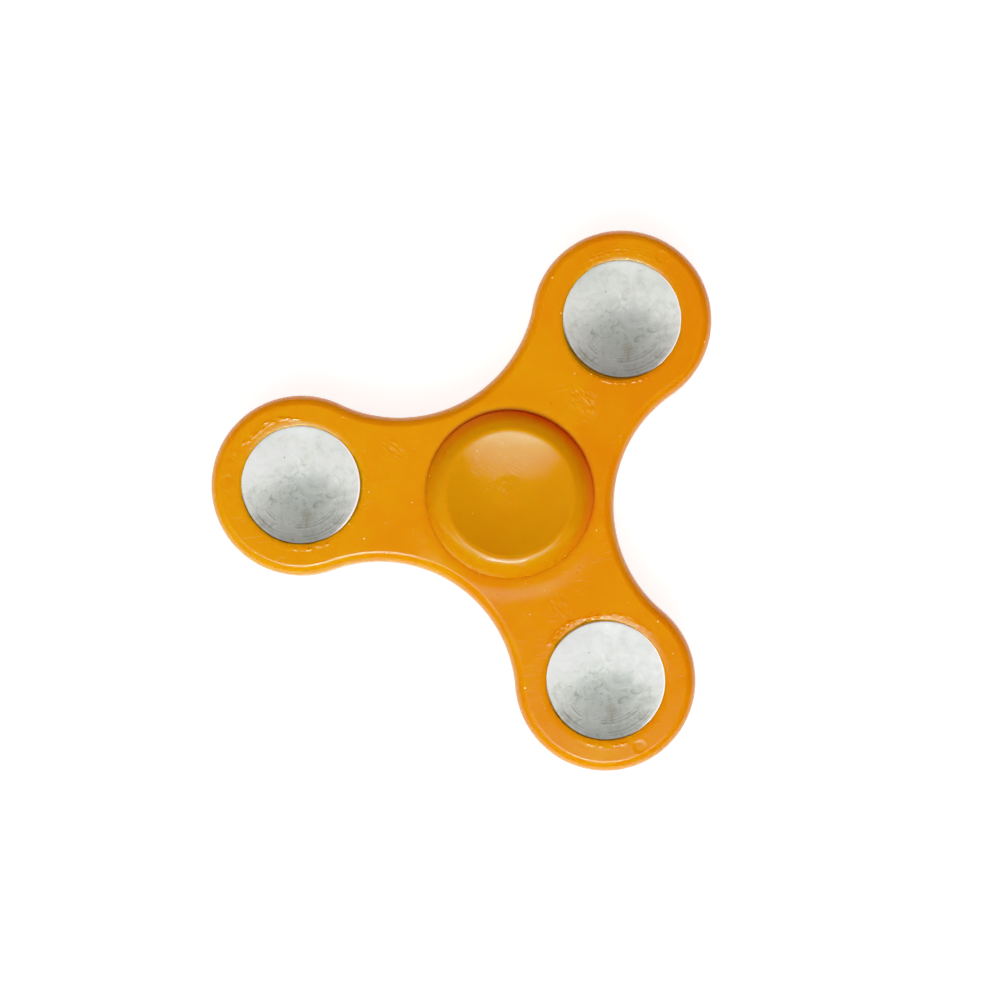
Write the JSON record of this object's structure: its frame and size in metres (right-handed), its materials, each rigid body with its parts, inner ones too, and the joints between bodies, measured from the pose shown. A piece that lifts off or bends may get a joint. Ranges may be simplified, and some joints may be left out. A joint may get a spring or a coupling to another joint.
{
  "type": "fidget spinner",
  "caption": "Lobed plastic spinner with round steel counterweights that turns on a shielded ball bearing between two dished finger caps.",
  "frame": {"origin": "on the spin axis, at the mid-plane of the moulded body, which is also the centre of mass", "axes": "+Z along the spin axis towards the thumb cap; +X through the middle of one finger gap; one lobe points along -X"},
  "size_m": [0.0682, 0.0748, 0.013],
  "materials": {
    "orange_plastic": "moulded, semi-gloss",
    "plated_steel": "zinc-plated, turned",
    "ground_steel": "ground",
    "polished_steel": "polished",
    "pressed_steel": "cold-rolled sheet",
    "spring_wire": "drawn wire"
  },
  "bodies": {
    "hub": {"bearing_inner_ring": "ground_steel", "thumb_cap": "orange_plastic", "finger_cap": "orange_plastic"},
    "rotor": {"spinner_body": "orange_plastic", "counterweight_1": "plated_steel", "counterweight_2": "plated_steel", "counterweight_3": "plated_steel", "bearing_outer_ring": "ground_steel", "shield_upper": "pressed_steel", "shield_lower": "pressed_steel", "shield_clip_upper": "spring_wire", "shield_clip_lower": "spring_wire"},
    "cage": {"cage_upper_half": "pressed_steel", "cage_lower_half": "pressed_steel"},
    "ball_1": {"bearing_ball_1": "polished_steel"},
    "ball_2": {"bearing_ball_2": "polished_steel"},
    "ball_3": {"bearing_ball_3": "polished_steel"},
    "ball_4": {"bearing_ball_4": "polished_steel"},
    "ball_5": {"bearing_ball_5": "polished_steel"},
    "ball_6": {"bearing_ball_6": "polished_steel"},
    "ball_7": {"bearing_ball_7": "polished_steel"}
  },
  "joints": [
    {"name": "body_spin", "type": "hinge", "parent": "hub", "child": "rotor", "pos_m": [0, 0, 0], "axis": [0, 0, 1], "continuous": true},
    {"name": "cage_orbit", "type": "hinge", "parent": "hub", "child": "cage", "pos_m": [0, 0, 0], "axis": [0, 0, 1], "continuous": true},
    {"name": "ball_1_roll", "type": "hinge", "parent": "cage", "child": "ball_1", "pos_m": [0.0075, 0, 0], "axis": [0, 0, 1], "continuous": true},
    {"name": "ball_2_roll", "type": "hinge", "parent": "cage", "child": "ball_2", "pos_m": [0.00468, 0.00586, 0], "axis": [0, 0, 1], "continuous": true},
    {"name": "ball_3_roll", "type": "hinge", "parent": "cage", "child": "ball_3", "pos_m": [-0.00167, 0.00731, 0], "axis": [0, 0, 1], "continuous": true},
    {"name": "ball_4_roll", "type": "hinge", "parent": "cage", "child": "ball_4", "pos_m": [-0.00676, 0.00325, 0], "axis": [0, 0, 1], "continuous": true},
    {"name": "ball_5_roll", "type": "hinge", "parent": "cage", "child": "ball_5", "pos_m": [-0.00676, -0.00325, 0], "axis": [0, 0, 1], "continuous": true},
    {"name": "ball_6_roll", "type": "hinge", "parent": "cage", "child": "ball_6", "pos_m": [-0.00167, -0.00731, 0], "axis": [0, 0, 1], "continuous": true},
    {"name": "ball_7_roll", "type": "hinge", "parent": "cage", "child": "ball_7", "pos_m": [0.00468, -0.00586, 0], "axis": [0, 0, 1], "continuous": true}
  ],
  "couplings": [
    {"joint": "cage_orbit", "follows": "body_spin", "ratio": 0.6323},
    {"joint": "ball_1_roll", "follows": "body_spin", "ratio": 1.7573},
    {"joint": "ball_2_roll", "follows": "body_spin", "ratio": 1.7573},
    {"joint": "ball_3_roll", "follows": "body_spin", "ratio": 1.7573},
    {"joint": "ball_4_roll", "follows": "body_spin", "ratio": 1.7573},
    {"joint": "ball_5_roll", "follows": "body_spin", "ratio": 1.7573},
    {"joint": "ball_6_roll", "follows": "body_spin", "ratio": 1.7573},
    {"joint": "ball_7_roll", "follows": "body_spin", "ratio": 1.7573}
  ]
}
